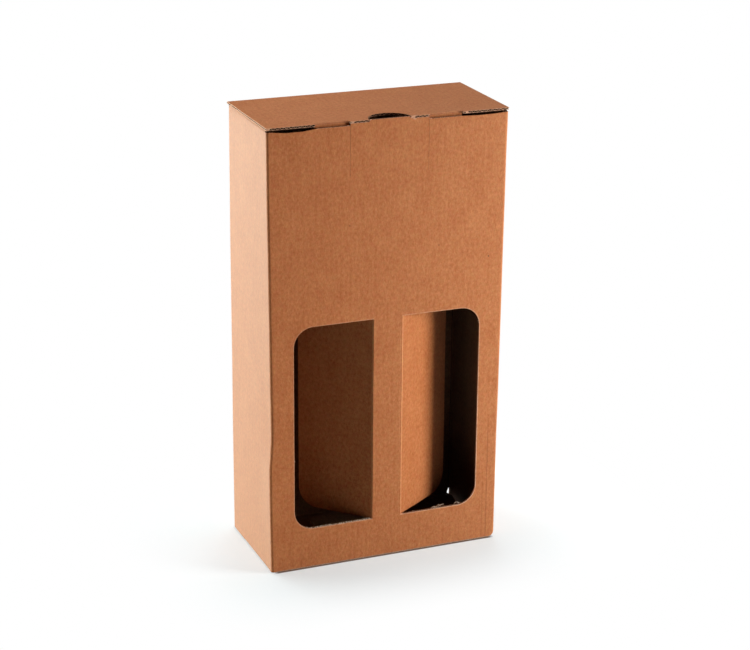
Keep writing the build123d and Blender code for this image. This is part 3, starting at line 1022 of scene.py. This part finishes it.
def makeDividerFold(name):
    divider = dividers[name]
    hinge, along, outward = dividerAxes(divider)
    side, reach = divider["side"], foldShape["round"]
    bandStart = hinge - Vector((side * reach, 0, 0))
    panelStart = hinge + along * reach
    proud, filled = foldShape["proud"], board["thick"] * foldShape["filled"]
    forward = Vector((0, -proud, 0))
    outer = bezier(bandStart + forward, hinge + forward, panelStart + outward * proud)
    inner = [panelStart - outward * filled, bandStart + Vector((0, filled, 0))]
    turning = foldShape["turning"]
    start, end = hinge - Vector((side * turning, 0, 0)), hinge + along * turning

    def settle(point):
        return point + foldShift(side, point.z / mm)

    span = (windowFoot + foldShape["short"], windowHead - foldShape["short"], 6)
    makeStrip("fold_" + name, [outer + inner], "z", span, ("carton", divider["node"]), start, end, settle)


def arcPoints(centre, radius, first, last):
    angles = [radians(first + (last - first) * share) for share in evenly(0, 1, 1 / foldShape["steps"])]
    return [centre + Vector((0, cos(angle), sin(angle))) * radius for angle in angles]


def makeBackFold():
    bend = board["foldRadius"]
    centre = Vector((0, halfDepth - bend, boxTop - bend))
    skin, proud = foldShape["skin"], foldShape["backProud"]
    outer = arcPoints(centre, bend + proud, *foldShape["backSkin"])
    outer += arcPoints(centre, bend - skin, *foldShape["backSkinUnder"])
    inside = bend - board["thick"]
    crease = arcPoints(centre, inside - foldShape["creaseProud"], 0, 90)
    wall = Vector((0, centre.y + inside, centre.z - foldShape["backLap"]))
    under = Vector((0, centre.y - foldShape["backLap"], centre.z + inside))
    lining = [wall + Vector((0, -proud, 0))] + crease + [under + Vector((0, 0, -proud))]
    lining += [under + Vector((0, 0, skin / 2))] + arcPoints(centre, inside + skin / 2, 90, 0)
    lining += [wall + Vector((0, skin / 2, 0))]
    half = Vector((0, -sqrt(0.5), sqrt(0.5))) * 0.5
    reach = halfWidth - foldShape["backShort"]
    span, bodies = (-reach, reach, 20), ("carton", "lid")
    makeStrip("fold_back", [outer, lining], "x", span, bodies, centre - half, centre + half)


# Fuzz and torn shavings where the knife left the paper ragged. All in millimetres: the stretch of the
# window's foot with fuzz runs from low to high, each an X and a Y, and a curl is its line's X and Z.
tornEdges = {
    "left_window_fringe": {
        "count": 52,
        "low": (-64.0, -44.2),
        "high": (-12.5, -43.7),
        "length": (0.8, 1.4),
        "width": (0.5, 0.9),
        "curls": [[(-73.3, 87.2), (-72.7, 87.6), (-72.6, 88.1), (-73.3, 88.5)]],
    },
    "right_window_fringe": {
        "count": 30,
        "low": (14.0, -44.1),
        "high": (68.0, -42.8),
        "length": (0.3, 0.8),
        "width": (0.2, 0.4),
        "curls": [
            [(36.6, 31.9), (37.8, 32.9), (39.6, 33.5), (40.6, 32.6), (41.8, 33.7), (43.6, 34.2), (44.8, 33)],
            [(38.4, 32.2), (40.2, 32.7), (42.4, 32.5), (43.4, 33.1), (45.0, 33.9), (47.0, 34.2), (48, 32.6)],
            [(55.4, 32.1), (56.2, 33.4), (57.8, 34.0), (59.2, 33.8), (60.1, 32.8)],
            [(73.3, 177.6), (72.3, 178.3), (72.2, 179.3), (73.0, 180.0)],
        ],
    },
}
curlShape = {
    "inner": (0.7, 0.25),  # the shaving's inner edge: how far in and up
    "behind": 0.1,
    "steps": 4,
    "uneven": 0.5,
    "unevenEvery": 1.7,  # noise per millimetre
}
fibreShape = {"sunk": 0.15, "lean": (0.1, 0.5), "turn": (-0.9, 0.9), "taper": 0.8}


# Height of the window's lower edge at one X
def windowEdgeAt(x):
    corner = windowShape["corner"]
    past = max(0, abs(x) - windowShape["outer"] + corner)
    return windowFoot + corner - sqrt(max(corner * corner - past * past, 0))


def addFibre(bm, root, length, lean, turn, width):
    verts = bmesh.ops.create_grid(bm, x_segments=1, y_segments=3, size=mm)["verts"]
    spin = Matrix.Rotation(turn, 3, "Z")
    for vert in verts:
        side, share = vert.co.x / mm, (vert.co.y / mm + 1) / 2
        half = width / 2 * (1 - share * fibreShape["taper"])
        bent = Vector((side * half, lean * length * share * share, length * share))
        vert.co = (root + spin @ bent) * mm


# A shaving that stands off the edge along a wavy line, seen nearly on edge
def addCurl(bm, points):
    inward, upward = curlShape["inner"]
    spots = []
    for first, second in zip(points, points[1:]):
        for index in range(curlShape["steps"]):
            spots.append(Vector((*first, 0)).lerp(Vector((*second, 0)), index / curlShape["steps"]))
    rows = []
    for spot in spots + [Vector((*points[-1], 0))]:
        uneven = 1 + curlShape["uneven"] * noise.noise(spot * curlShape["unevenEvery"])
        outer = Vector((spot.x, curlShape["behind"] - halfDepth, spot.y))
        inner = outer + Vector((0, inward * uneven, upward * uneven))
        rows.append([bm.verts.new(outer * mm), bm.verts.new(inner * mm)])
    for (first, second), (third, fourth) in zip(rows, rows[1:]):
        bm.faces.new((first, second, fourth, third))


def makeFringe(name):
    edge = tornEdges[name]
    bm = bmesh.new()
    low, high = edge["low"], edge["high"]
    for index in range(edge["count"]):
        share = (index + random.random()) / edge["count"]
        x = low[0] + (high[0] - low[0]) * share
        root = Vector((x, random.uniform(low[1], high[1]), windowEdgeAt(x) - fibreShape["sunk"]))
        length, width = random.uniform(*edge["length"]), random.uniform(*edge["width"])
        lean, turn = random.uniform(*fibreShape["lean"]), random.uniform(*fibreShape["turn"])
        addFibre(bm, root, length, lean, turn, width)
    for points in edge["curls"]:
        addCurl(bm, points)

    def settle(point):
        point = settledBox(point)
        return Vector((point.x, max(point.y, -halfDepth * mm), point.z))

    piece = finishPiece(bm, name, settle, [fibreMaterial])
    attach(piece, "carton")


makeCarton()
makeLid()
for name in dividers:
    makeDivider(name)
    makeDividerFold(name)
makeBackFold()
for name in tornEdges:
    makeFringe(name)
print("Boards made")


# Camera at the photograph's angle, in metres, degrees and pixels
cameraView = {
    "place": (-0.53225, -1.336457, 0.682404),
    "azimuth": -21.988,
    "elevation": 19.586,
    "roll": 0.455,
    "focalPixels": 2033.644,
    "imageWidth": 750,
    "sensor": 36.0,
    "farthest": 50,
}


def makeCamera():
    azimuth, elevation = radians(cameraView["azimuth"]), radians(cameraView["elevation"])
    back = Vector((sin(azimuth) * cos(elevation), -cos(azimuth) * cos(elevation), sin(elevation)))
    right = axes["z"].cross(back).normalized()
    up = back.cross(right)
    turn = Matrix((right, up, back)).transposed() @ Matrix.Rotation(radians(cameraView["roll"]), 3, "Z")
    data = bpy.data.cameras.new("camera")
    data.sensor_width = cameraView["sensor"]
    data.lens = cameraView["focalPixels"] * cameraView["sensor"] / cameraView["imageWidth"]
    data.clip_end = cameraView["farthest"]
    scene.camera = addObject("camera", data)
    scene.camera.matrix_world = Matrix.Translation(cameraView["place"]) @ turn.to_4x4()


# Lamps: place and aim in metres, power in watts
lamps = {
    "rightFront": {
        "place": (0.62, -0.42, 0.22), "aim": (0, -0.04, 0.17), "size": (0.30, 0.55),
        "power": 8.4, "colour": (1, 0.985, 0.96),
    },
    "leftBack": {
        "place": (-0.85, 0.80, 0.13), "aim": (-0.05, 0.02, 0.09), "size": (1.1, 0.40),
        "power": 28.7, "colour": (0.96, 1.0, 0.955),
    },
    "overhead": {
        "place": (0.0, 0.35, 1.35), "aim": (0, 0, 0.3), "size": (0.8, 0.8),
        "power": 12.9, "colour": (1, 1, 1),
    },
}


def makeLamps():
    for name, lamp in lamps.items():
        data = bpy.data.lights.new(name, "AREA")
        data.shape = "RECTANGLE"
        data.size, data.size_y = lamp["size"]
        data.energy = lamp["power"]
        data.color = lamp["colour"]
        turn = (Vector(lamp["aim"]) - Vector(lamp["place"])).to_track_quat("-Z", "Y")
        light = addObject(name, data)
        light.matrix_world = Matrix.Translation(lamp["place"]) @ turn.to_matrix().to_4x4()


surroundings = {
    "fill": 0.02,
    "gloss": 0.06,  # how bright the room is where the board mirrors it
    "floorReach": 12.0,
    "floorShade": (0.52, 0.575, 0.595),
    "floorGlow": 0.45,
    "floorBounce": 0.60,
    "shadeRight": 0.04,  # how much further the shade reaches on the right, in metres
    "floorFade": (0.012, 0.1),  # the floor turns white between these distances from the box
    "contact": (0.0001, 0.0015),  # and it is dark against the front, fading between these
    "contactUnder": 0.005,  # that dark line reaches this far under the box
    "contactEnds": (0.006, 0.001),  # and fades between these distances from the front's sides
    "contactShade": (0.13, 0.075, 0.055),
}


# 1 for the rays that come from the camera, and the share given for those that the board mirrors
def seenRays(tree, mirrored):
    rays = addNode(tree, "LightPath").outputs
    seen = times(tree, rays["Is Glossy Ray"], mirrored)
    seen = calculate(tree, "MAXIMUM", seen, rays["Is Camera Ray"])
    return calculate(tree, "MAXIMUM", seen, rays["Is Transmission Ray"])


def makeWorld():
    world = bpy.data.worlds.new("studio")
    world.use_nodes = True
    tree = world.node_tree
    seen = seenRays(tree, surroundings["gloss"])
    strength = calculate(tree, "MULTIPLY_ADD", seen, 1 - surroundings["fill"], surroundings["fill"])
    feed(tree, tree.nodes["Background"], {"Color": (1, 1, 1, 1), "Strength": strength})
    scene.world = world


def shade(tree, kind, inputs):
    return addNode(tree, kind, None, inputs).outputs[0]


# Near the box the floor shows the box's shade, and further out it is the photo's white
def makeFloor():
    bm = bmesh.new()
    bmesh.ops.create_grid(bm, x_segments=2, y_segments=2, size=surroundings["floorReach"])
    mesh = bpy.data.meshes.new("floor")
    bm.to_mesh(mesh)
    bm.free()
    material, tree, shader = newMaterial("floorPaper")
    tree.nodes.remove(shader)
    seen = seenRays(tree, 1.0)
    shaded = shade(tree, "BsdfDiffuse", {"Color": (*surroundings["floorShade"], 1)})
    glow = shade(tree, "Emission", {"Strength": surroundings["floorGlow"]})
    near = shade(tree, "AddShader", {0: shaded, 1: glow})
    far = shade(tree, "Emission", {"Strength": 1.0})
    position = addNode(tree, "TexCoord").outputs["Object"]
    further = surroundings["shadeRight"] / 2
    outward = vectorMath(tree, "SUBTRACT", {0: position, 1: (further, 0, 0)})
    outward = vectorMath(tree, "ABSOLUTE", {0: outward})
    outward = vectorMath(tree, "SUBTRACT", {0: outward, 1: (halfWidth * mm + further, halfDepth * mm, 0)})
    outward = vectorMath(tree, "MAXIMUM", {0: outward})
    fade = remap(tree, vectorMath(tree, "LENGTH", {0: outward}, "Value"), *surroundings["floorFade"])
    shown = shade(tree, "MixShader", {0: fade, 1: near, 2: far})
    place = partsOf(tree, position)
    inFront = minus(tree, -halfDepth * mm, place["Y"])
    line = remap(tree, inFront, *surroundings["contact"], 1.0, 0.0)
    atFront = calculate(tree, "GREATER_THAN", inFront, -surroundings["contactUnder"])
    inner, outer = [halfWidth * mm - short for short in surroundings["contactEnds"]]
    ends = remap(tree, calculate(tree, "ABSOLUTE", place["X"]), inner, outer, 1.0, 0.0)
    dark = shade(tree, "Emission", {"Color": (*surroundings["contactShade"], 1)})
    shown = shade(tree, "MixShader", {0: times(tree, line, atFront, ends), 1: shown, 2: dark})
    bounce = surroundings["floorBounce"]
    plain = shade(tree, "BsdfDiffuse", {"Color": (bounce, bounce, bounce, 1)})
    whole = shade(tree, "MixShader", {0: seen, 1: plain, 2: shown})
    feed(tree, tree.nodes["Material Output"], {"Surface": whole})
    mesh.materials.append(material)
    floor = addObject("floor", mesh)


makeCamera()
makeLamps()
makeWorld()
makeFloor()
scene.view_settings.view_transform = "Standard"
print("Camera, lamps and floor made")
